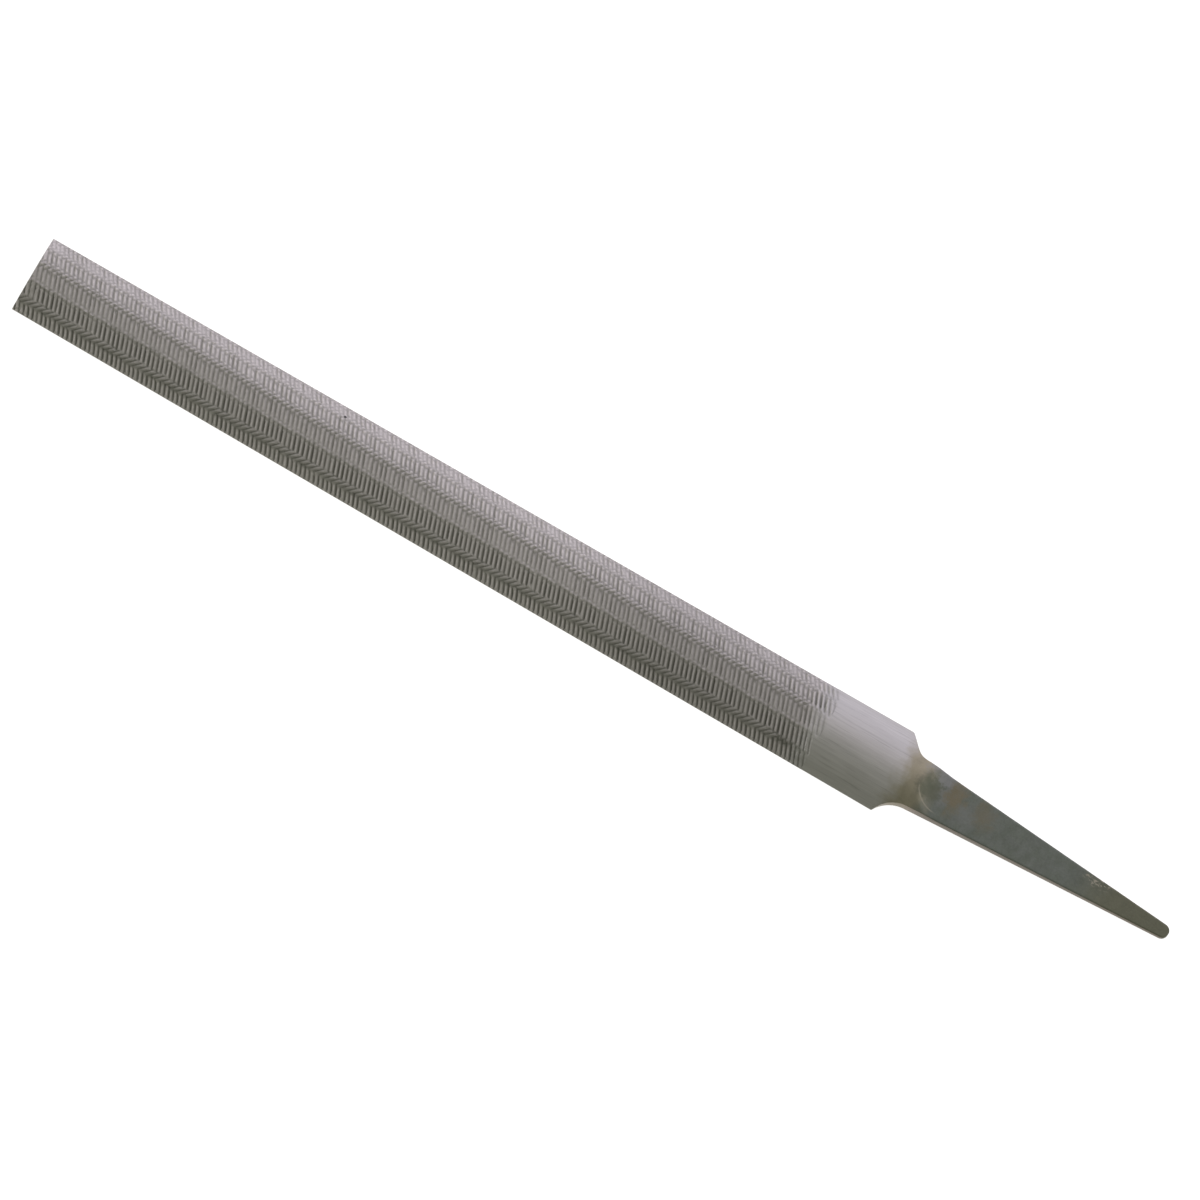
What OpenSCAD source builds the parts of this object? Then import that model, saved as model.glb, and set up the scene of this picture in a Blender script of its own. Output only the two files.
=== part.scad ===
// Half-round file with a bare tang. One steel forging, drawn as its three zones:
// the toothed blade, the smooth heel with its shoulders, and the tang.
// X runs along the length towards the tang, Z is up, and the flat face lies at Z = 0.

/* [Blade] */
// Length of the blade, from the point to the corners of the shoulders
blade_length = 150.2; // [100:0.1:300]
// Width of the flat face at the heel
heel_width = 13.7; // [12.6:0.1:18]
// Width of the flat face at the point
point_width = 12.6; // [9:0.1:12.6]
// Thickness at the shoulders, from the flat face to the crown of the round side
heel_thickness = 4.1; // [3.6:0.05:5]
// Height of the narrow flat along each edge of the blade
edge_height = 0.3; // [0.1:0.05:0.6]
// Length of the smooth heel between the last teeth and the corners of the shoulders
bare_heel_length = 12.2; // [6:0.1:25]
// Radius of the hollow shoulders between the blade's edges and the tang
shoulder_radius = 5; // [4.5:0.1:7]

/* [Tang] */
// Length from the corners of the shoulders to the tip of the tang
tang_length = 48.4; // [35:0.2:80]
// Width where the tang leaves the shoulders
tang_root_width = 7.7; // [6:0.1:9]
// Width at the tip, which is fully rounded
tang_tip_width = 2.2; // [1.6:0.1:4]
// Thickness at the foot of the forged slope behind the shoulders
tang_root_thickness = 2.7; // [2.2:0.05:3]
// Thickness at the tip
tang_tip_thickness = 1.5; // [1:0.05:2]
// Length of the forged slope from the crown down to the flat top of the tang
slope_length = 5; // [3:0.5:8]
// Height of the underside at the tip above the flat face
tip_lift = 0.4; // [0:0.05:0.8]
// Distance that the root of the tang stands to one side of the centre line
root_lean = 0.3; // [0:0.05:0.6]
// Distance that the tip stands to the same side
tip_lean = 0.75; // [0:0.05:1.2]

/* [Hidden] */
$fn = 128;
clear = 1; // how far a cutting shape runs past what it cuts

// Places along the length, with the origin under the middle of the whole file
point_x = -(blade_length + tang_length) / 2;
shoulder_x = point_x + blade_length;
cut_end_x = shoulder_x - bare_heel_length;
tip_x = shoulder_x + tang_length;

// The round side is a slim cone whose axis lies below the flat face.
// Its section is an arc from the top of one edge, over the crown, to the top of the other.
arc_rise = heel_thickness - edge_height;
heel_radius = (pow(heel_width / 2, 2) + pow(arc_rise, 2)) / (2 * arc_rise);
axis_depth = heel_radius - heel_thickness;
point_radius = sqrt(pow(point_width / 2, 2) + pow(axis_depth + edge_height, 2));
function along(x) = (x - point_x) / blade_length;
function cone_radius(x) = point_radius + (heel_radius - point_radius) * along(x);
function half_width(x) = (point_width + (heel_width - point_width) * along(x)) / 2;

// Each shoulder is an arc that leaves the side of the tang and meets the edge of the blade
shoulder_drop = (heel_width - tang_root_width) / 2;
shoulder_run = sqrt(2 * shoulder_radius * shoulder_drop - pow(shoulder_drop, 2));
root_x = shoulder_x + shoulder_run;
crown_at_root = cone_radius(root_x) - axis_depth;
slope_end_x = root_x + slope_length;

tip_radius = tang_tip_width / 2;
tip_centre_x = tip_x - tip_radius;

// The half-round bar between two places along the length
module half_round(from_x, to_x) {
  intersection() {
    translate([from_x, 0, -axis_depth])
      rotate([0, 90, 0])
        cylinder(h = to_x - from_x, r1 = cone_radius(from_x), r2 = cone_radius(to_x));
    linear_extrude(height = heel_thickness + clear)
      polygon([
        [from_x, -half_width(from_x)],
        [to_x, -half_width(to_x)],
        [to_x, half_width(to_x)],
        [from_x, half_width(from_x)]
      ]);
  }
}

// One hollow shoulder; side is 1 or -1
module shoulder_cutter(side) {
  translate([root_x, side * (tang_root_width / 2 + shoulder_radius) - root_lean, -clear])
    cylinder(h = heel_thickness + 2 * clear, r = shoulder_radius);
}

// The tang seen from above: a straight taper with a round tip, leaning to one side
module tang_outline() {
  linear_extrude(height = heel_thickness + clear)
    polygon([
      [root_x, -root_lean - tang_root_width / 2],
      [tip_centre_x, -tip_lean - tip_radius],
      [tip_centre_x, -tip_lean + tip_radius],
      [root_x, -root_lean + tang_root_width / 2]
    ]);
  translate([tip_centre_x, -tip_lean, 0])
    cylinder(h = heel_thickness + clear, r = tip_radius);
}

// The tang seen from the side: a forged slope, then a long wedge
module tang_profile() {
  rotate([90, 0, 0])
    linear_extrude(height = tang_root_width + 2 * clear, center = true)
      polygon([
        [root_x, 0],
        [tip_x + clear, tip_lift],
        [tip_x + clear, tip_lift + tang_tip_thickness],
        [slope_end_x, tang_root_thickness],
        [root_x, crown_at_root]
      ]);
}

// The toothed part of the blade, drawn to the crests of its teeth
module cut_blade() {
  color([0.56, 0.55, 0.56])
    half_round(point_x, cut_end_x);
}

// The smooth ground heel and the two shoulders
module heel() {
  color([0.70, 0.69, 0.71])
    difference() {
      half_round(cut_end_x, root_x);
      shoulder_cutter(1);
      shoulder_cutter(-1);
    }
}

// The bare tang that a handle is driven onto
module tang() {
  color([0.37, 0.39, 0.36])
    intersection() {
      half_round(root_x, tip_x);
      tang_outline();
      tang_profile();
    }
}

cut_blade();
heel();
tang();
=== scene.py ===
# Half-round file with a bare tang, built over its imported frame. Lengths are in metres.
import bpy
import math
import numpy as np
from mathutils import Matrix, Vector


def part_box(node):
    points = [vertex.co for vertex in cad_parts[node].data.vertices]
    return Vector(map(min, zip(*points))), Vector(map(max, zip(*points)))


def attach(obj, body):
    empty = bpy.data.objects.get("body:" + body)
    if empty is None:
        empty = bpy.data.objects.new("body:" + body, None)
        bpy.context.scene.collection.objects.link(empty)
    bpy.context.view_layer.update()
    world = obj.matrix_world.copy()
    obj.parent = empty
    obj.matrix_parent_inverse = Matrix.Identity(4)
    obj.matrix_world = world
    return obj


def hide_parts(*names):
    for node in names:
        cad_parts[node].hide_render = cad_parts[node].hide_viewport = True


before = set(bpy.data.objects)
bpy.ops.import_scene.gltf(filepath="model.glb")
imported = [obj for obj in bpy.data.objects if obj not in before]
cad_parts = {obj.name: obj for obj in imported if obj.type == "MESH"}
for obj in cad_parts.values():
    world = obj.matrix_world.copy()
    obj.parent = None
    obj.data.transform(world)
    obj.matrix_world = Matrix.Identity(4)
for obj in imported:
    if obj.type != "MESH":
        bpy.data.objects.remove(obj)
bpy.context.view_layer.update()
mm = 0.001
print("frame loaded")


def rampUp(x, low, high):
    # 0 below low, 1 above high, smooth between
    share = np.clip((x - low) / (high - low), 0.0, 1.0)
    return share * share * (3 - 2 * share)


def sectionOf(node, x):
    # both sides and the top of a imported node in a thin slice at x
    points = np.array([v.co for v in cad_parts[node].data.vertices])
    thin = points[np.abs(points[:, 0] - x) < 0.02 * mm]
    return float(thin[:, 1].min()), float(thin[:, 1].max()), float(thin[:, 2].max())


# Places along the file, read off the frame
pointX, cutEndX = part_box("cut_blade")[0].x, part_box("cut_blade")[1].x
rootX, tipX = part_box("tang")[0].x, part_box("tang")[1].x
cutLength = cutEndX - pointX
_, pointHalf, pointCrown = sectionOf("cut_blade", pointX)
_, cutHalf, cutCrown = sectionOf("cut_blade", cutEndX)
rootLow, rootHigh, rootCrown = sectionOf("tang", rootX)
rootHalf, rootLean = (rootHigh - rootLow) / 2, -(rootHigh + rootLow) / 2
edgeHeight = 0.3 * mm  # the narrow flat along each edge of the blade and heel


def arcRadius(half, crown):
    rise = crown - edgeHeight
    return (half**2 + rise**2) / (2 * rise)


pointRadius, cutRadius = arcRadius(pointHalf, pointCrown), arcRadius(cutHalf, cutCrown)
axisDepth = cutRadius - cutCrown


def taper(x, atPoint, atCut):
    # straight along the length, and carried on past the teeth
    return atPoint + (atCut - atPoint) * (x - pointX) / cutLength


def coneRadius(x):
    return taper(x, pointRadius, cutRadius)


def bladeHalf(x):
    return taper(x, pointHalf, cutHalf)


# The teeth. Rows run lengthwise, and every stroke is a straight chisel cut across
# its row. A second, sparser cut crosses the first along the seams between rows.
teeth = dict(
    pitch=0.77 * mm,
    depth=0.24 * mm,  # the deepest cuts; each row has its share of it
    rowBounds=(1.0, 0.63, 0.226, -0.226, -0.63, -1.0),  # share of the half arc, from the +Y edge
    rowDepths=(0.85, 0.9, 0.85, 1.0, 1.0),
    rowStarts=(0.31, 0.02, -0.22, 0.26, -0.08),  # in teeth
    lastCuts=(137.0 * mm, 137.1 * mm, 137.2 * mm, 137.15 * mm, 137.05 * mm),
    phases=(0.0, 0.26, 0.48, 0.74),  # gullet, crest, back and foot of one tooth
    heights=(0.0, 1.0, 0.9, 0.3),
    slant=0.32,  # how far a stroke runs back for each unit across
    bow=0.015,  # and how much it curves
    facet=1.0,  # how nearly each row is a flat along the blade, 0 to 1
    facetEnd=(135.4 * mm, 137.6 * mm),  # the flats run out into the smooth heel
    fade=0.02 / mm,  # how fast a cut grows shallow away from its row's middle
    rowEnds=(0.98, 1.26),  # where strokes begin to fade and are gone, in half rows
    edgeNotch=(0.03 * mm, 0.10 * mm),  # how deep cuts may run at the +Y and -Y edges
    notchGrowth=4,  # how fast that limit grows away from the edge
)
handWork = dict(
    leadIn=4,  # strokes laid out before the point
    spare=12,  # strokes laid out beyond those that the blade needs, in all
    drift=0.015,  # how unevenly the strokes follow each other, in teeth
    slips=0.03,
    strength=0.09,  # how unevenly hard the strokes are, and the hardest
    hardest=1.12,
    endSlip=0.09,  # how unevenly the strokes end, in half rows
    lastLight=0.7,  # share of full depth of the last stroke, and what each one before it gains
    lightGain=0.15,
)
wearAndShade = dict(
    tones=(  # share of the half arc, then how dark the crests and the gullets are painted there: some wear, and painted shade that follows how light falls across the blade
        (1.0, 0.0, 0.65),
        (0.66, 0.0, 0.65),
        (0.60, 0.1, 0.8),
        (0.34, 0.1, 0.9),
        (0.06, 0.4, 0.95),
        (-0.19, 0.38, 0.9),
        (-0.26, 0.3, 1.0),
        (-0.54, 0.3, 1.0),
        (-0.60, 0.5, 1.1),
        (-0.72, 0.5, 1.1),
        (-0.78, 0.14, 1.0),
        (-1.0, 0.14, 1.0),
    ),
    ragged=0.35,  # how far those bands wander along the blade, beside the strokes' ends
    crestEnd=(133.9 * mm, 136.6 * mm),  # the crests brighten towards the heel
    darkening=(0.1, 0.95),  # shares of the deepest cut between which worn steel turns dark: painted shade in the cuts, with some dirt
)
overcut = dict(
    pitch=0.963 * mm,
    slant=0.95,
    width=0.42,  # half the groove, as a share of the pitch
    middles=(0.99, 0.63, 0.226, -0.226, -0.655),  # share of the half arc
    reach=(1.7 * mm, 1.7 * mm, 1.7 * mm, 0.9 * mm, 0.95 * mm),  # across, each side
    reachFade=0.55,  # share of the reach where the grooves begin to fade
    depths=(0.18 * mm, 0.19 * mm, 0.2 * mm, 0.14 * mm, 0.18 * mm),
    shades=(1.0, 0.95, 0.95, 0.8, 0.95),  # how dark the grooves are painted beside the first cut's: painted shade in the grooves
    starts=(0.1, 0.45, 0.8, 0.2, 0.6),
    lastCut=134.3 * mm,
)
chevronSeam = dict(
    row=4,
    gaps=(0.36, 0.66),  # strokes above and below stop short of it, in half rows
    closing=(130.5 * mm, 134 * mm),  # the gap closes towards the heel
)
flatTeeth = dict(
    slant=0.36,
    depth=0.22 * mm,
    lastCut=134.5 * mm,
    overSlant=-0.95,
    overDepth=0.12 * mm,
    overLastCut=130 * mm,
    inset=0.3 * mm,  # the cuts begin within this distance of the edges
)
rowCount = len(teeth["rowStarts"])
chisel = np.random.default_rng(41)


def strokeLine(start):
    # where each stroke of one row begins: an even pitch with a slow drift and small slips
    count = int(cutLength / teeth["pitch"]) + handWork["spare"]
    places = (np.arange(count) - handWork["leadIn"] + start) * teeth["pitch"]
    drift = np.cumsum(chisel.normal(0, handWork["drift"], count))
    drift -= np.linspace(drift[0], drift[-1], count)
    slips = chisel.normal(0, handWork["slips"], count)
    strengths = 1 + chisel.normal(0, handWork["strength"], count)
    ends = chisel.normal(0, handWork["endSlip"], count)
    return places + (drift + slips) * teeth["pitch"], np.minimum(strengths, handWork["hardest"]), ends


rowLines = [strokeLine(start) for start in teeth["rowStarts"]]
flatLine = strokeLine(0.0)
toothX = np.array(teeth["phases"] + (1.0,))
toothZ = np.array(teeth["heights"] + (0.0,))


def strokeDepth(start, line, lastCut):
    # share of the full depth for a point whose stroke begins at start, and that stroke's own slip
    places, strengths, ends = line
    index = np.interp(start, places, np.arange(len(places)))
    cut = 1 - np.interp(index - np.floor(index), toothX, toothZ)
    nearest = np.clip(np.round(index).astype(int), 0, len(places) - 1)
    last = np.searchsorted(places, lastCut)
    light = np.clip(handWork["lastLight"] + handWork["lightGain"] * (last - nearest), 0, 1)
    return np.where(index > last + toothX[1], 0.0, cut * strengths[nearest] * light), ends[nearest]


def rowMiddle(row):
    return (teeth["rowBounds"][row] + teeth["rowBounds"][row + 1]) / 2


def rowReach(row):
    return (teeth["rowBounds"][row] - teeth["rowBounds"][row + 1]) / 2


def strokeOffset(across):
    # how far back a stroke lies at a distance across from its row's middle
    return -teeth["slant"] * across + teeth["bow"] * across**2 / mm


def rowFade(row, s, across, halfRow, slip):
    # 1 over the row, 0 past its ends
    low, high = teeth["rowEnds"]
    near = low + slip
    gap = 1 - rampUp(s, *chevronSeam["closing"])
    if row == chevronSeam["row"] - 1:
        near = np.where(across < 0, near - chevronSeam["gaps"][0] * gap, near)
    if row == chevronSeam["row"]:
        near = np.where(across > 0, near - chevronSeam["gaps"][1] * gap, near)
    edge = np.where(across > 0, row == 0, row == rowCount - 1)  # no seam at the blade's edges
    return np.where(edge, 1.0, 1 - rampUp(np.abs(across) / halfRow, near, near + high - low))


def grooveShare(index):
    # 1 along the middle of each groove of the second cut, 0 between grooves
    return np.clip(1 - np.abs(index - np.round(index)) / overcut["width"], 0, 1)


def darkAt(depth):
    # painted shade in the cuts, with some dirt: 0 on worn steel, 1 in the deepest cuts
    return rampUp(depth / teeth["depth"], *wearAndShade["darkening"])


def roundDepth(s, arc, halfArc, radius):
    # on the round side: depth of the cuts, depth of the flats, and how dark the cuts are;
    # arc is measured from the crown
    deepest, shade, flat = np.zeros((3, len(s)))
    for row in range(rowCount):
        halfRow = halfArc * rowReach(row)
        across = arc - rowMiddle(row) * halfArc
        flat = np.maximum(flat, teeth["facet"] * (halfRow**2 - across**2) / (2 * radius))
        cut, slip = strokeDepth(s - strokeOffset(across), rowLines[row], teeth["lastCuts"][row])
        depth = teeth["depth"] * teeth["rowDepths"][row] - teeth["fade"] * across**2
        depth = depth * cut * rowFade(row, s, across, halfRow, slip)
        deepest, shade = np.maximum(deepest, depth), np.maximum(shade, depth)
    seams = zip(*(overcut[key] for key in ("middles", "reach", "depths", "shades", "starts")))
    for middle, reach, depth, dark, start in seams:
        across = arc - middle * halfArc
        groove = grooveShare((s - overcut["slant"] * across) / overcut["pitch"] + start)
        groove = groove * (1 - rampUp(np.abs(across) / reach, overcut["reachFade"], 1))
        groove = np.where(s < overcut["lastCut"], depth * groove, 0)
        deepest, shade = np.maximum(deepest, groove), np.maximum(shade, groove * dark)
    return deepest, flat * (1 - rampUp(s, *teeth["facetEnd"])), darkAt(shade)


def toneAt(v, s, shade):
    # how dark the steel is painted: worn crests, and gullets with painted shade and some dirt; both
    # change across the blade with painted shade for how light falls there
    inner = -np.array(teeth["rowBounds"][1:-1])
    row = int(np.clip(np.searchsorted(inner, -v), 0, rowCount - 1))
    places, _, ends = rowLines[row]
    spot = v + wearAndShade["ragged"] * rowReach(row) * np.interp(s, places, ends)
    spots, crests, gullets = np.array(wearAndShade["tones"][::-1]).T
    crest = np.interp(spot, spots, crests) * (1 - rampUp(s, *wearAndShade["crestEnd"]))
    return crest + (np.interp(spot, spots, gullets) - crest) * shade


def flatDepth(s, y):
    cut = flatTeeth["depth"] * strokeDepth(s - flatTeeth["slant"] * y, flatLine, flatTeeth["lastCut"])[0]
    groove = grooveShare((s - flatTeeth["overSlant"] * y) / overcut["pitch"])
    return np.maximum(cut, np.where(s < flatTeeth["overLastCut"], flatTeeth["overDepth"] * groove, 0))


mapLayout = dict(
    low=0.08,  # where the first and last lengthwise lines of a piece lie on its map
    high=0.95,
    seam=0.98,  # where the first line lies in the faces that close the piece
    ends=((0.02, 0.01), (0.3, 0.01)),
    endSize=(0.2, 0.045),
)
endTone = 0.12  # how dark the plain ends of a piece are
crease = 40  # edges sharper than this many degrees stay crisp


def addMesh(name, points, faces, places, tones, seamFaces):
    # places on the map and tones are given point by point; the last two faces are the
    # ends of the piece, with map places and a plain tone of their own
    mesh = bpy.data.meshes.new(name)
    mesh.from_pydata([tuple(p) for p in points], [], faces)
    corners = np.empty(len(mesh.loops), np.int32)
    mesh.loops.foreach_get("vertex_index", corners)
    face = np.repeat(np.arange(len(faces)), [len(f) for f in faces])
    spots, tone = np.array(places)[corners], np.array(tones)[corners]
    closing = np.isin(face, seamFaces) & (spots[:, 1] <= mapLayout["low"])
    spots[closing, 1] = mapLayout["seam"]
    for i, start in enumerate(mapLayout["ends"]):
        end = face == len(faces) - 2 + i
        section = points[corners[end], 1:]
        share = (section - section.min(0)) / np.ptp(section, 0)
        spots[end] = np.array(start) + share * mapLayout["endSize"]
        tone[end] = endTone
    layer = mesh.attributes.new("tone", "FLOAT", "CORNER")
    layer.data.foreach_set("value", tone.astype(np.float32))
    layer = mesh.uv_layers.new(name="OFBake")
    layer.data.foreach_set("uv", spots.astype(np.float32).ravel())
    mesh.update()
    mesh.validate()
    mesh.shade_smooth()
    mesh.set_sharp_from_angle(angle=math.radians(crease))
    piece = bpy.data.objects.new(name, mesh)
    bpy.context.scene.collection.objects.link(piece)
    print(name, "built:", len(mesh.polygons), "faces")
    return piece


bladeGrid = dict(
    steps=(3, 4, 3),  # grid steps over a row's middle, over each flank, and up to each seam
    spans=(0.44, 0.76, 1.0),  # where those bands end, in half rows
    flatSteps=50,
    roundMap=0.60,  # the round side's far line on the map, and the flat side's near one
    flatMap=0.64,
    endFade=2.5 * mm,  # over which grid lines turn from slanted to square
    endSkew=0.007,  # the point is ground slightly out of square, over a short length
    skewLength=3 * mm,
)


def rowShares():
    # places across the round side, from 1 at the +Y edge to -1 at the other
    middle, flank, seam = bladeGrid["spans"]
    near, side, outer = bladeGrid["steps"]
    bounds = (-seam, -flank, -middle, middle, flank, seam)
    bands = zip(bounds, bounds[1:], (outer, side, near, side, outer))
    row = np.unique(np.round(np.concatenate([np.linspace(a, b, n + 1) for a, b, n in bands]), 6))
    shares = [rowMiddle(i) + row[::-1] * rowReach(i) for i in range(rowCount)]
    return np.unique(np.round(np.concatenate(shares), 6))[::-1]


def interpRows(v, keys, values):
    # linear between the two keyed rows around v, held flat outside them
    upper = int(np.clip(np.searchsorted(keys, v), 1, len(keys) - 1))
    low, high = keys[upper - 1], keys[upper]
    share = min(max((v - low) / (high - low), 0), 1)
    return values[upper - 1] * (1 - share) + values[upper] * share


def gridFaces(start, rows, columns):
    index = start + np.arange(rows * columns).reshape(rows, columns)
    quads = np.stack([index[:-1, :-1], index[1:, :-1], index[1:, 1:], index[:-1, 1:]], -1)
    return [tuple(q) for q in quads.reshape(-1, 4).tolist()]


def mapLine(s, near, far, share):
    # where one lengthwise line of the blade lies on the map
    return np.stack([s / cutLength, np.full(len(s), near + (far - near) * share)], 1)


def strokeGuides(even):
    # on both flanks of every row: where the grid lines lie, to follow the strokes' own lines
    tooth, phase = np.divmod(np.arange(len(even)), len(teeth["phases"]))
    middleRadius = float(np.mean(coneRadius(pointX + even)))
    halfArc = middleRadius * math.atan2(cutHalf, axisDepth + edgeHeight)
    keys, values = [], []
    for row in range(rowCount):
        reach = bladeGrid["spans"][1] * rowReach(row)
        line = rowLines[row][0]
        starts = np.interp(tooth + handWork["leadIn"] + toothX[phase], np.arange(len(line)), line)
        for side in (1, -1):
            keys.append(rowMiddle(row) + side * reach)
            values.append(starts + strokeOffset(side * reach * halfArc))
    order = np.argsort(keys)
    return np.array(keys)[order], np.array(values)[order]


def roundSide(even):
    # from the +Y edge over the crown to the -Y edge
    keys, values = strokeGuides(even)
    ease = rampUp(even, 0, bladeGrid["endFade"]) * rampUp(cutLength - even, 0, bladeGrid["endFade"])
    points, tones, places = [], [], []
    shares = rowShares()
    for i, v in enumerate(shares):
        s = even + ease * (interpRows(v, keys, values) - even)
        s[0], s[-1] = 0.0, cutLength
        x = pointX + s
        r = coneRadius(x)
        half = np.arctan2(bladeHalf(x), axisDepth + edgeHeight)
        depth, flat, shade = roundDepth(s, v * half * r, half * r, r)
        notch = teeth["edgeNotch"][0 if v > 0 else 1]
        depth = np.minimum(depth, notch + teeth["notchGrowth"] * (1 - abs(v)) * half * r)
        angle, height = v * half, r - depth - flat
        points.append(np.stack([x, height * np.sin(angle), height * np.cos(angle) - axisDepth], 1))
        tones.append(toneAt(v, s, shade))
        places.append(mapLine(s, mapLayout["low"], bladeGrid["roundMap"], i / (len(shares) - 1)))
    return points, tones, places


def flatSide(even):
    # from the -Y edge back to the +Y edge
    points, tones, places = [], [], []
    x = pointX + even
    for i, v in enumerate(np.linspace(-1, 1, bladeGrid["flatSteps"] + 1)):
        y = v * bladeHalf(x)
        inside = rampUp((1 - abs(v)) * bladeHalf(x), 0, flatTeeth["inset"])
        depth = flatDepth(even, y) * inside
        points.append(np.stack([x, y, depth], 1))
        tones.append(darkAt(depth))
        places.append(mapLine(even, bladeGrid["flatMap"], mapLayout["high"], i / bladeGrid["flatSteps"]))
    return points, tones, places


def buildBlade():
    columns = int(round(cutLength / teeth["pitch"] * len(teeth["phases"]))) + 1
    even = np.linspace(0, cutLength, columns)
    above, below = roundSide(even), flatSide(even)
    rows, flatRows = len(above[0]), len(below[0])
    start = rows * columns
    faces = gridFaces(0, rows, columns) + gridFaces(start, flatRows, columns)
    # the narrow flats along both edges, and the two ends
    lastRound, lastFlat = (rows - 1) * columns, start + (flatRows - 1) * columns
    faces += [(lastRound + c, start + c, start + c + 1, lastRound + c + 1) for c in range(columns - 1)]
    seamFaces = len(faces) + np.arange(columns - 1)
    faces += [(lastFlat + c, c, c + 1, lastFlat + c + 1) for c in range(columns - 1)]
    loop = [line * columns for line in range(rows + flatRows)]
    faces.append(tuple(reversed(loop)))
    faces.append(tuple(i + columns - 1 for i in loop))
    points, tones, places = (np.concatenate(a + b) for a, b in zip(above, below))
    lean = bladeGrid["endSkew"] * (points[:, 1] + pointHalf)
    points[:, 0] += lean * np.clip(1 - (points[:, 0] - pointX) / bladeGrid["skewLength"], 0, 1)
    return addMesh("cutBlade", points, faces, places, tones, seamFaces)


# Heel, shoulders and tang: rings of points across the bar, from the last teeth to the tip
ring = dict(
    top=41,  # points over the top, round each corner and underneath
    corner=4,
    bottom=13,
    edgeStep=0.1 * mm,  # over which the slope beside an edge is measured
    cornerLimit=0.4,  # a corner's radius is at most this share of the bar's half width or height
)
heel = dict(
    hollow=5 * mm,  # radius between the blade's edge and the tang, on the -Y side
    slope=1.33,  # the +Y side is ground as a straight slope with a short hollow at its foot
    slopeFoot=2.15 * mm,
    slopeHollow=0.6 * mm,
    rubbed=(0.08 * mm, 0.04 * mm),  # how far each shoulder's corner is rubbed off, +Y side first
    underCorner=0.12 * mm,  # radius of the edges underneath
    shoulderLength=5.2 * mm,
    rings=(46, 84),  # along the straight part, and along the shoulders
)
tang = dict(
    slopeLength=5 * mm,  # forged slope from the crown to the top of the tang
    slopeBend=1.7,
    slopeBlend=0.05 * mm,  # how softly the slope meets the ground surface
    thickness=(2.7 * mm, 1.5 * mm),  # at the foot of the slope, and at the tip
    tipWidth=2.2 * mm,
    tipLift=0.4 * mm,
    tipLean=0.75 * mm,  # the tip stands to the -Y side
    hammered=0.03 * mm,  # mean depth of the unevenness left by forging
    hammeredFrom=4 * mm,  # it grows from nothing over this length
    waves=((1.1e3, 0.6e3, 0.0), (2.3e3, -1.4e3, 1.7)),  # of that unevenness: along, across, start
    corners=(0.06 * mm, 0.24 * mm),  # their radius on the ground heel and on the forged tang
    cornerChange=4 * mm,  # they change this far on each side of the root
    underCorner=0.8,  # the radius underneath, as a share of the upper one
    rings=(180, 14),  # along the tang, and round its tip
    lastTurn=84,  # degrees round the tip
)
tipRadius = tang["tipWidth"] / 2
tipCentreX = tipX - tipRadius


def softMin(a, b, k):
    low, high = min(a, b), max(a, b)
    return low - k * math.log1p(math.exp((low - high) / k))


def shareOf(x, low, high):
    return min(max((x - low) / (high - low), 0), 1)


def centreLine(x):
    return -rootLean - (tang["tipLean"] - rootLean) * shareOf(x, rootX, tipCentreX)


def edgeOf(x, side):
    # distance of the bar's edge from the blade's centre line, on the +Y (1) or -Y (-1) side
    if x >= tipCentreX:
        return math.sqrt(max(tipRadius**2 - (x - tipCentreX) ** 2, 0)) + side * centreLine(x)
    if x >= rootX:
        share = shareOf(x, rootX, tipCentreX)
        return rootHalf + (tipRadius - rootHalf) * share + side * centreLine(x)
    back, hollow = rootX - x, heel["hollow"]
    if side > 0:
        drop = -softMin(0, -heel["slope"] * (back - heel["slopeFoot"]), heel["slopeHollow"])
    else:
        drop = hollow - math.sqrt(hollow**2 - min(back, hollow) ** 2)
    ground = rootHalf + side * centreLine(x) + drop
    return softMin(bladeHalf(x), ground, heel["rubbed"][0 if side > 0 else 1])


def forgedTop(x):
    # height of the forged slope, then of the long wedge
    thick, thin = tang["thickness"]
    footX = rootX + tang["slopeLength"]
    if x < footX:
        share = 1 - (x - rootX) / tang["slopeLength"]
        return rootCrown + (thick - rootCrown) * (1 - share ** tang["slopeBend"])
    return thick + (thin + tang["tipLift"] - thick) * (x - footX) / (tipX - footX)


def topAt(x, y):
    # the ground round surface, cut down by the forged top where that is lower
    domed = math.sqrt(coneRadius(x) ** 2 - y * y) - axisDepth
    if x < rootX:
        return domed
    waves = [math.sin(along * x + across * y + start) for along, across, start in tang["waves"]]
    growth = min((x - rootX) / tang["hammeredFrom"], 1)
    forged = forgedTop(x) - tang["hammered"] * (1 + sum(waves) / len(waves)) * growth
    return softMin(domed, forged, tang["slopeBlend"])


def cornerRadius(x):
    small, large = tang["corners"]
    change = tang["cornerChange"]
    return small + (large - small) * float(rampUp(x, rootX - change, rootX + change))


def sideOf(x, side):
    # points round one side of the bar, from the top to the underside
    edge = edgeOf(x, side)
    under = tang["tipLift"] * shareOf(x, rootX, tipX)
    corner = min(cornerRadius(x), ring["cornerLimit"] * abs(edge - side * centreLine(x)))
    nearby, step = edge - corner, ring["edgeStep"]
    slope = (topAt(x, side * nearby) - topAt(x, side * (nearby - step))) / step
    tilt = math.atan(max(-slope, 0))
    startY = nearby + corner * math.sin(tilt)
    middleZ = topAt(x, side * startY) - corner * math.cos(tilt)
    points = [
        (nearby + corner * math.sin(a), middleZ + corner * math.cos(a))
        for a in np.linspace(tilt, math.pi / 2, ring["corner"] + 1)
    ]
    lower = heel["underCorner"] if x < rootX else tang["underCorner"] * corner
    low = min(corner, lower, ring["cornerLimit"] * (middleZ - under))
    for a in np.linspace(math.pi / 2, math.pi, ring["corner"] + 1):
        points.append((edge - low + low * math.sin(a), under + low + low * math.cos(a)))
    return [(side * y, z) for y, z in points]


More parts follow.
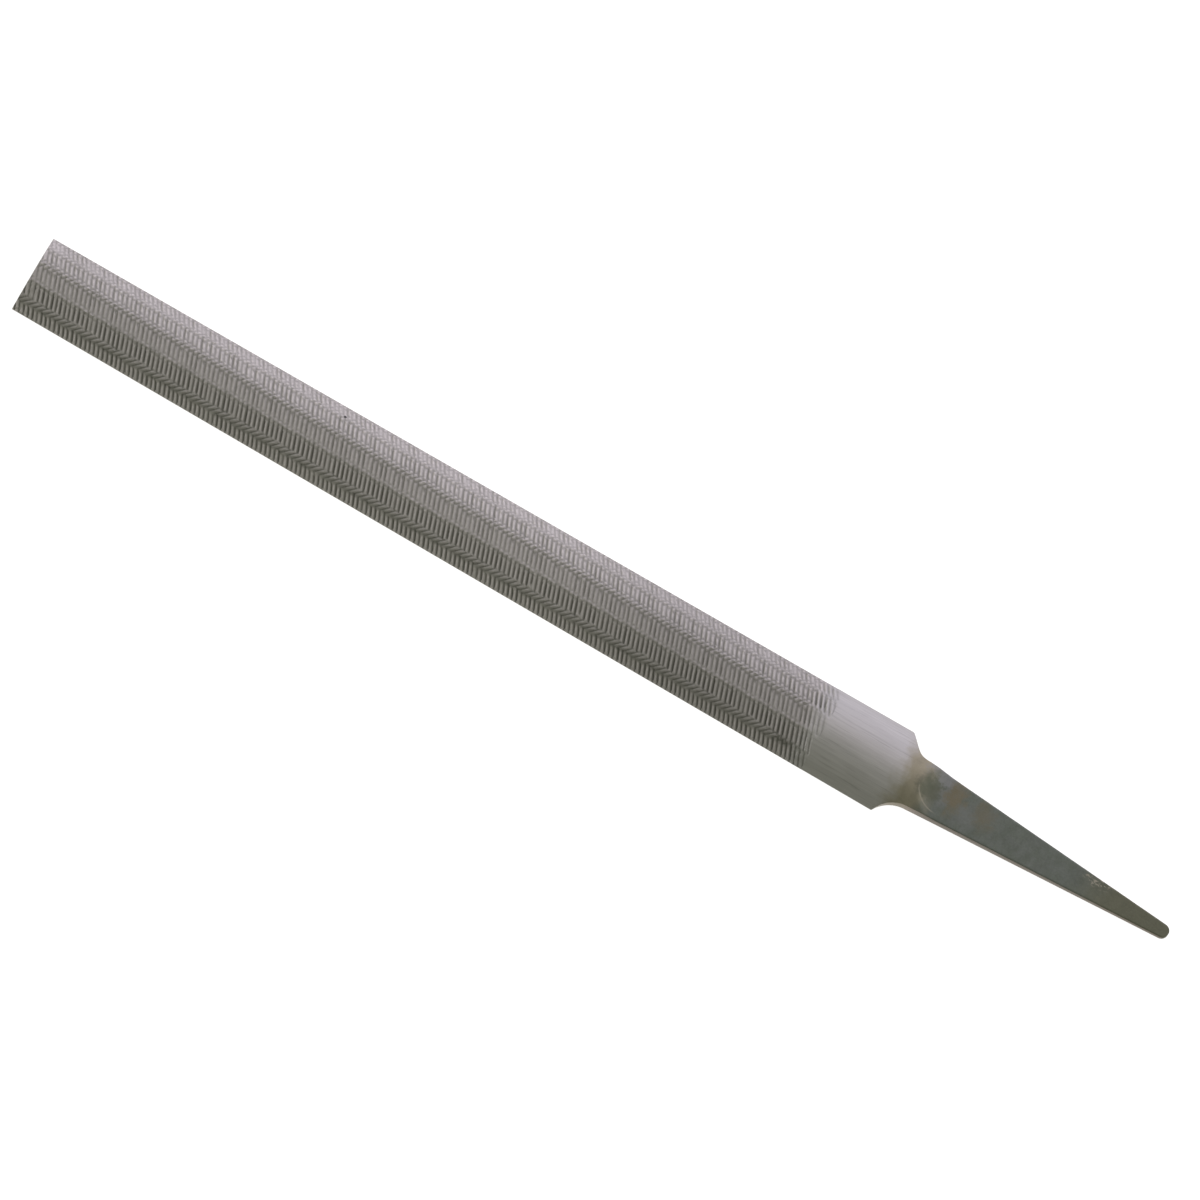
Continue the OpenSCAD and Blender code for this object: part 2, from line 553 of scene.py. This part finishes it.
def ringAt(x):
    # one closed ring of (y, z): over the top from -Y to +Y, down that side and back underneath
    right, left = sideOf(x, 1), sideOf(x, -1)
    top = [(y, topAt(x, y)) for y in np.linspace(left[0][0], right[0][0], ring["top"])][1:-1]
    under = [(y, right[-1][1]) for y in np.linspace(right[-1][0], left[-1][0], ring["bottom"])][1:-1]
    return np.array([left[0], *top, *right, *under, *left[:0:-1]])


def buildRings(name, stations):
    rings = []
    for x in stations:
        section = ringAt(x)
        rings.append(np.column_stack([np.full(len(section), x), section]))
    count, around = len(rings), len(rings[0])
    points = np.concatenate(rings)
    faces = []
    for i in range(count - 1):
        for j in range(around):
            k = (j + 1) % around
            faces.append((i * around + j, (i + 1) * around + j, (i + 1) * around + k, i * around + k))
    faces.append(tuple(range(around)))
    faces.append(tuple((count - 1) * around + j for j in reversed(range(around))))
    v = np.tile(np.linspace(mapLayout["low"], mapLayout["high"], around), count)
    u = np.repeat(np.linspace(0.0, 1.0, count), around)
    seamFaces = np.arange(count - 1) * around + around - 1
    return addMesh(name, points, faces, np.column_stack([u, v]), np.zeros(len(points)), seamFaces)


def buildHeel():
    cornerX = rootX - heel["shoulderLength"]
    coarse, close = heel["rings"]
    straight = np.linspace(cutEndX, cornerX, coarse)
    shoulders = np.linspace(cornerX, rootX, close)
    return buildRings("heelAndShoulders", np.concatenate([straight, shoulders[1:]]))


def buildTang():
    coarse, close = tang["rings"]
    straight = np.linspace(rootX, tipCentreX, coarse)
    turn = np.radians(np.linspace(0, tang["lastTurn"], close))
    return buildRings("forgedTang", np.concatenate([straight, tipCentreX + tipRadius * np.sin(turn[1:])]))


# Finishes. A wire is one output socket, and arithmetic on it adds Math nodes.
class Wire:
    def __init__(self, graph, socket):
        self.graph, self.socket = graph, socket

    def maths(self, operation, *values):
        return self.graph.node("ShaderNodeMath", {"operation": operation}, dict(enumerate(values)))

    def __add__(self, other):
        return self.maths("ADD", self, other)

    def __radd__(self, other):
        return self.maths("ADD", other, self)

    def __sub__(self, other):
        return self.maths("SUBTRACT", self, other)

    def __rsub__(self, other):
        return self.maths("SUBTRACT", other, self)

    def __mul__(self, other):
        return self.maths("MULTIPLY", self, other)

    def __rmul__(self, other):
        return self.maths("MULTIPLY", other, self)

    def __abs__(self):
        return self.maths("ABSOLUTE", self)


class Graph:
    def __init__(self, tree):
        self.tree = tree
        self.tree.nodes.clear()

    def node(self, kind, settings=None, inputs=None, output=0):
        made = self.tree.nodes.new(kind)
        for key, value in (settings or {}).items():
            if key == "stops":
                self.setStops(made.color_ramp, value)
            else:
                setattr(made, key, value)
        for key, value in (inputs or {}).items():
            if isinstance(value, Wire):
                self.tree.links.new(value.socket, made.inputs[key])
            else:
                made.inputs[key].default_value = value
        return Wire(self, made.outputs[output]) if len(made.outputs) else None

    def setStops(self, ramp, stops):
        while len(ramp.elements) < len(stops):
            ramp.elements.new(0.5)
        for element, (place, colour) in zip(ramp.elements, stops):
            element.position, element.color = place, (*colour, 1)

    def blend(self, share, a, b, mode="MIX"):
        a, b = [(*c, 1) if isinstance(c, tuple) else c for c in (a, b)]
        settings = {"data_type": "RGBA", "blend_type": mode}
        return self.node("ShaderNodeMix", settings, {0: share, 6: a, 7: b}, 2)

    def tint(self, colour, level):
        # a colour made lighter or darker by a plain number wire
        grey = self.node("ShaderNodeCombineColor", {}, {0: level, 1: level, 2: level})
        return self.blend(1.0, colour, grey, "MULTIPLY")

    def vector(self, operation, a, b):
        return self.node("ShaderNodeVectorMath", {"operation": operation}, {0: a, 1: b})

    def axis(self, spot, which):
        return self.node("ShaderNodeSeparateXYZ", {}, {0: spot}, which)

    def noise(self, spot, scale, detail=3.0, rough=0.55, output=0):
        # as a number, or as a colour from output 1
        inputs = {"Vector": spot, "Scale": scale, "Detail": detail, "Roughness": rough}
        return self.node("ShaderNodeTexNoise", {}, inputs, output)

    def streaks(self, spot, stretch, scale=1.0, detail=3.0, rough=0.6):
        # noise that changes at a different pace along each axis
        return self.noise(self.vector("MULTIPLY", spot, stretch), scale, detail, rough)

    def between(self, value, low, high):
        # 0 below low, 1 above high, smooth between
        settings = {"interpolation_type": "SMOOTHSTEP"}
        inputs = {"Value": value, "From Min": low, "From Max": high}
        return self.node("ShaderNodeMapRange", settings, inputs)

    def distance(self, spot, centre, size):
        # how far out of an oval a point lies, seen from above: 1 is on its rim
        moved = self.vector("SUBTRACT", spot, (*centre, 0))
        shrunk = self.vector("MULTIPLY", moved, (1 / size[0], 1 / size[1], 0))
        return self.node("ShaderNodeVectorMath", {"operation": "LENGTH"}, {0: shrunk}, 1)

    def oval(self, spot, centre, size, edge):
        # 1 inside an oval, 0 outside
        return 1 - self.between(self.distance(spot, centre, size), 1 - edge, 1 + edge)


def newFinish(name):
    material = bpy.data.materials.new(name)
    material.use_nodes = True
    return material, Graph(material.node_tree)


# In the finishes' values, lengths are in millimetres, but for the depth of the bump
steel = dict(
    crest=(0.575, 0.552, 0.548),
    gullet=(0.17, 0.17, 0.155),
    ground=(0.435, 0.43, 0.43),
    straw=(0.275, 0.25, 0.175),
    # painted highlight colour: the room's bluish light seen on bare steel
    paintedHighlight=(0.265, 0.27, 0.285),
    scale=(0.185, 0.205, 0.19),
    green=(0.165, 0.187, 0.165),
    shadow=(0.125, 0.135, 0.105),
    brown=(0.2, 0.175, 0.12),
    olive=(0.17, 0.175, 0.13),
    pale=(0.42, 0.39, 0.33),
    sides=(0.36, 0.31, 0.285),
    speck=(0.04, 0.04, 0.04),
    metallic=0.95,
)
grinding = dict(
    lines=(0.06, 3.2, 1.2),  # how fast the marks change along the file, across it and upwards
    fine=(0.22, 11.0, 4.0),
    scratches=(0.16, 5.5, 2.0),
    scratchLimits=(0.60, 0.72),
    cloud=0.22,
    brightness=(0.62, 0.40, 0.30, 0.12, 0.20),  # plain, from lines, fine and cloud, lost in scratches
    roughness=(0.34, 0.10, 0.06),  # plain, from lines and from cloud
    relief=(0.5, 0.5, 0.3),  # height of lines and fine lines, and depth of scratches
    bumpDepth=0.03 * mm,
    bumpStrength=0.4,
)
cutLook = dict(
    brightness=(1.02, 0.15),  # near the point, and what is lost towards the heel
    heelwardDarkening=(86, 116),  # from the point, where that happens
    speckle=2.2,
    speckleShades=(0.74, 0.52),  # the darkest speckles, and how much brighter the brightest are
    bare=(4.0, 1.4),  # before the last teeth, where the smooth heel's look takes over
    rougher=0.06,
    speckPlace=(51.8, 4.62),  # from the point, and across
    speckSize=(0.24, 0.22),
    speckEdge=0.2,
    speckShare=0.9,
)
temper = dict(  # lengths along the file are counted from the tang's root
    warm=(-5.0, -1.6),  # the straw colour comes in between these places
    warmShare=0.85,
    strawShades=(0.7, 0.6),  # the darkest, and how much brighter the brightest is
    body=(-0.6, 3.6),  # the dark scale comes in, and further back it turns olive
    scaleShades=(0.53, 0.34, 0.34),  # plain, then added by the wander and by the grain
    green=(0.35, 0.65),  # levels of the drift at which the scale turns green
    olive=(25, 35),
    wander=5.0,  # how far those limits wander
    wanderScale=0.33,
    drift=(1.0, 0.7, 1.0),
    driftScale=0.9,
    grainScale=3.0,
    torn=(5.0, 5.0, 0.0),  # how ragged the patches are
    tornScale=0.55,
    # the shadow patch is a painted shadow on the forged slope, and the pale bluish patches are painted
    # highlights
    patches=(  # strength, colour, place along and across, size along and across
        (0.85, "shadow", (1.5, -0.1), (1.8, 1.6)),
        (0.7, "paintedHighlight", (3.2, 2.7), (2.6, 1.0)),
        (0.35, "paintedHighlight", (4.0, 0.6), (0.7, 2.2)),
        (0.8, "brown", (5.7, 0.9), (1.5, 2.4)),
        (0.2, "paintedHighlight", (8.2, -1.0), (1.5, 1.5)),
        (0.5, "brown", (10.8, 0.4), (1.7, 2.0)),
    ),
    patchEdge=0.6,
    patchShades=(0.45, 1.1),
    highlightAndDieLine=((3.9, 0.5), (4.2, 3.45)),  # the oval that the bright line is part of
    highlightAndDieLineWidth=0.05,  # each side, as a share of the oval
    highlightAndDieLineEnds=((-1.2, 0.2), (3.0, 4.4)),  # where it fades out, across and along
    highlightAndDieLineShare=0.45,
    scuffs=((30.6, 0.9), (2.2, 1.1)),
    scuffEdge=0.4,
    scuffMarks=((0.8, 1.6, 1.0), 1.6),
    scuffLimits=(0.50, 0.60),
    scuffShare=0.75,
    walls=((0.75, 0.95), (-2.0, 1.0)),  # how upright a side is, and where along, to look bare
    wallShare=0.65,
    rougher=0.1,
    lessMetallic=0.2,
)


def groundFinish(g, spot):
    # fine grinding lines along the file, with a few stronger scratches among them
    lines = g.streaks(spot, grinding["lines"], detail=4.0)
    fine = g.streaks(spot, grinding["fine"])
    scratch = g.streaks(spot, grinding["scratches"], detail=2.0, rough=0.5)
    scratch = g.between(scratch, *grinding["scratchLimits"])
    cloud = g.noise(spot, grinding["cloud"])
    plain, byLines, byFine, byCloud, byScratch = grinding["brightness"]
    level = plain + byLines * lines + byFine * fine + byCloud * cloud - byScratch * scratch
    plain, byLines, byCloud = grinding["roughness"]
    rough = plain + byLines * lines + byCloud * cloud
    byLines, byFine, byScratch = grinding["relief"]
    inputs = {"Height": byLines * lines + byFine * fine - byScratch * scratch}
    inputs.update({"Distance": grinding["bumpDepth"], "Strength": grinding["bumpStrength"]})
    bump = g.node("ShaderNodeBump", {}, inputs)
    return g.tint(steel["ground"], level), rough, bump


def cutFinish(g, spot, x, ground, rough):
    # worn crests, gullets darkened with painted shade and some dirt, and the smooth heel's look at the
    # last teeth
    point, last = pointX / mm, cutEndX / mm
    tone = g.node("ShaderNodeAttribute", {"attribute_name": "tone"}, {}, "Fac")
    speckle = g.noise(spot, cutLook["speckle"], 3.0, 0.6)
    bright, lost = cutLook["brightness"]
    # the teeth are painted darker towards the heel
    heelwardLevel = bright - lost * g.between(x, *(point + d for d in cutLook["heelwardDarkening"]))
    bare = g.between(x, *(last - d for d in cutLook["bare"]))
    dark, span = cutLook["speckleShades"]
    worn = g.tint(steel["crest"], heelwardLevel * (dark + span * speckle))
    worn = g.blend(bare, worn, ground)
    # crests take the worn colour, gullets the gullet colour: painted shade, with some dirt
    cut = g.blend(tone, worn, g.tint(steel["gullet"], heelwardLevel))
    along, across = cutLook["speckPlace"]
    speck = g.oval(spot, (point + along, across), cutLook["speckSize"], cutLook["speckEdge"])
    colour = g.blend(cutLook["speckShare"] * speck, cut, steel["speck"])
    return colour, rough + cutLook["rougher"] * (1 - bare)


def temperedFinish(g, spot, x, ground, rough):
    # heat colours from the shoulders towards the tang, then its dark forging scale, with a painted shadow
    # and painted highlights near the root
    root = rootX / mm
    back = x - root
    wander = g.noise(spot, temper["wanderScale"], 4.0, 0.6)
    drift = g.streaks(spot, temper["drift"], temper["driftScale"], 5.0, 0.65)
    grain = g.noise(spot, temper["grainScale"], 3.0, 0.6)
    along = back + (wander - 0.5) * temper["wander"]
    warm = temper["warmShare"] * g.between(along, *temper["warm"])
    dark, span = temper["strawShades"]
    colour = g.blend(warm, ground, g.tint(steel["straw"], dark + span * drift))
    body = g.between(along, *temper["body"])
    scale = g.blend(g.between(drift, *temper["green"]), steel["scale"], steel["green"])
    scale = g.blend(g.between(along, *temper["olive"]), scale, steel["olive"])
    plain, byWander, byGrain = temper["scaleShades"]
    scale = g.tint(scale, plain + byWander * wander + byGrain * grain)
    colour = g.blend(body, colour, scale)
    # patches with torn edges: a painted shadow on the forged slope, painted highlights, and brown scale
    torn = g.noise(spot, temper["tornScale"], 4.0, 0.65, 1)
    torn = g.vector("MULTIPLY", g.vector("SUBTRACT", torn, (0.5, 0.5, 0.5)), temper["torn"])
    torn = g.vector("ADD", spot, torn)
    dark, span = temper["patchShades"]
    for strength, tone, place, size in temper["patches"]:
        mask = g.oval(torn, (root + place[0], place[1]), size, temper["patchEdge"])
        colour = g.blend(strength * mask * (dark + span * drift), colour, steel[tone])
    # the thin bright line along the rim of the forged slope: a painted highlight, and the mark where the
    # forging die left off
    centre, size = temper["highlightAndDieLine"]
    far, width = g.distance(spot, (root + centre[0], centre[1]), size), temper["highlightAndDieLineWidth"]
    line = g.between(far, 1 - width, 1.0) * (1 - g.between(far, 1.0, 1 + width))
    acrossEnd, alongEnd = temper["highlightAndDieLineEnds"]
    line = line * (1 - g.between(g.axis(spot, 1), *acrossEnd)) * (1 - g.between(back, *alongEnd))
    colour = g.blend(temper["highlightAndDieLineShare"] * line, colour, steel["pale"])
    # scuffs, and sides with the scale rubbed off
    centre, size = temper["scuffs"]
    scuff = g.between(g.streaks(spot, *temper["scuffMarks"], 4.0), *temper["scuffLimits"])
    near = g.oval(spot, (root + centre[0], centre[1]), size, temper["scuffEdge"])
    colour = g.blend(temper["scuffShare"] * scuff * near, colour, steel["pale"])
    upright, place = temper["walls"]
    facing = g.node("ShaderNodeNewGeometry", {}, {}, "Normal")
    wall = g.between(abs(g.axis(facing, 1)), *upright) * g.between(back, *place)
    colour = g.blend(temper["wallShare"] * wall, colour, steel["sides"])
    metal = steel["metallic"] - temper["lessMetallic"] * body
    return colour, rough + temper["rougher"] * body, metal


def addFinish(piece, slot):
    material, g = newFinish(slot + "Finish")
    spot = g.node("ShaderNodeTexCoord", {}, {}, "Object")
    spot = g.vector("MULTIPLY", spot, (1 / mm, 1 / mm, 1 / mm))
    x = g.axis(spot, 0)
    colour, rough, bump = groundFinish(g, spot)
    metal = steel["metallic"]
    if slot == "cut_steel":
        colour, rough = cutFinish(g, spot, x, colour, rough)
    else:
        colour, rough, metal = temperedFinish(g, spot, x, colour, rough)
    inputs = {"Base Color": colour, "Metallic": metal, "Roughness": rough, "Normal": bump}
    shader = g.node("ShaderNodeBsdfPrincipled", {}, inputs)
    g.node("ShaderNodeOutputMaterial", {}, {"Surface": shader})
    piece.data.materials.append(material)


for build, node, slot in (
    (buildBlade, "cut_blade", "cut_steel"),
    (buildHeel, "heel", "ground_steel"),
    (buildTang, "tang", "tempered_steel"),
):
    piece = build()
    addFinish(piece, slot)
    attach(piece, "root")
    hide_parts(node)
print("finishes done")

# Floor, light and camera
studio = dict(
    floorSize=60.0,
    floor=(0.35, 0.35, 0.35),
    floorRoughness=0.9,
    glow=0.93,
    room=(  # how bright the room is, from its -Y side over the top to the +Y side
        (0.0, (0.29, 0.295, 0.24)),
        (0.22, (0.34, 0.34, 0.29)),
        (0.42, (0.42, 0.42, 0.37)),
        (0.53, (0.56, 0.55, 0.51)),
        (0.66, (0.75, 0.71, 0.70)),
        (0.85, (0.97, 0.92, 0.97)),
        (1.0, (1.18, 1.12, 1.21)),
    ),
    roomSkew=0.03,  # the room's bright side is turned slightly along the file
    bounce=(0.85, 0.8, 0.74),  # light off the floor, seen by upright faces
    bounceFrom=(0.5, 0.9),
    ends=(0.95, 0.92, 0.86),  # the room past both ends of the file
    endsFrom=(0.45, 0.85),
    lens=900,
    sensor=36,
    clip=(0.05, 20),
    tilt=12.0,  # degrees from straight above, towards -Y
    turn=30.05,  # how far the file's length is turned from level
    width=0.1814,  # width of the view at the file
    aim=(-0.33 * mm, 0.24 * mm),
)


def addFloor():
    half = studio["floorSize"] / 2
    corners = [(-half, -half, 0), (half, -half, 0), (half, half, 0), (-half, half, 0)]
    mesh = bpy.data.meshes.new("floor")
    mesh.from_pydata(corners, [], [(0, 1, 2, 3)])
    floor = bpy.data.objects.new("floor", mesh)
    bpy.context.scene.collection.objects.link(floor)
    floor.visible_glossy = floor.visible_diffuse = False  # the room lights the file on its own
    material, g = newFinish("paleFloor")
    inputs = {"Base Color": (*studio["floor"], 1), "Roughness": studio["floorRoughness"]}
    inputs.update({"Emission Color": (1, 1, 1, 1), "Emission Strength": studio["glow"]})
    shader = g.node("ShaderNodeBsdfPrincipled", {}, inputs)
    g.node("ShaderNodeOutputMaterial", {}, {"Surface": shader})
    mesh.materials.append(material)


def addRoom():
    # a soft room: one bright side, one dim side, and light coming back off the floor
    world = bpy.data.worlds.new("softRoom")
    world.use_nodes = True
    g = Graph(world.node_tree)
    way = g.node("ShaderNodeTexCoord", {}, {}, "Generated")
    x, y, z = g.axis(way, 0), g.axis(way, 1), g.axis(way, 2)
    side = 0.5 + 0.5 * y - studio["roomSkew"] * x
    light = g.node("ShaderNodeValToRGB", {"stops": studio["room"]}, {"Fac": side})
    light = g.blend(g.between(abs(x), *studio["endsFrom"]), light, studio["ends"])
    light = g.blend(g.between(0 - z, *studio["bounceFrom"]), light, studio["bounce"])
    shader = g.node("ShaderNodeBackground", {}, {"Color": light})
    g.node("ShaderNodeOutputWorld", {}, {"Surface": shader})
    bpy.context.scene.world = world


def addCamera():
    lens = bpy.data.cameras.new("camera")
    lens.lens, lens.sensor_width = studio["lens"], studio["sensor"]
    lens.clip_start, lens.clip_end = studio["clip"]
    camera = bpy.data.objects.new("camera", lens)
    bpy.context.scene.collection.objects.link(camera)
    away = studio["width"] * studio["lens"] / studio["sensor"]
    tilt, turn = math.radians(studio["tilt"]), math.radians(studio["turn"])
    back = Vector((0, -math.sin(tilt), math.cos(tilt)))
    along = Vector((1, 0, 0))
    level = Matrix((along, back.cross(along), back)).transposed()
    rolled = level @ Matrix.Rotation(turn, 3, "Z")
    aim = Vector((*studio["aim"], edgeHeight))
    camera.matrix_world = Matrix.Translation(aim + back * away) @ rolled.to_4x4()
    bpy.context.scene.camera = camera


addFloor()
addRoom()
addCamera()
bpy.context.scene.view_settings.view_transform = "Standard"
print("studio set")
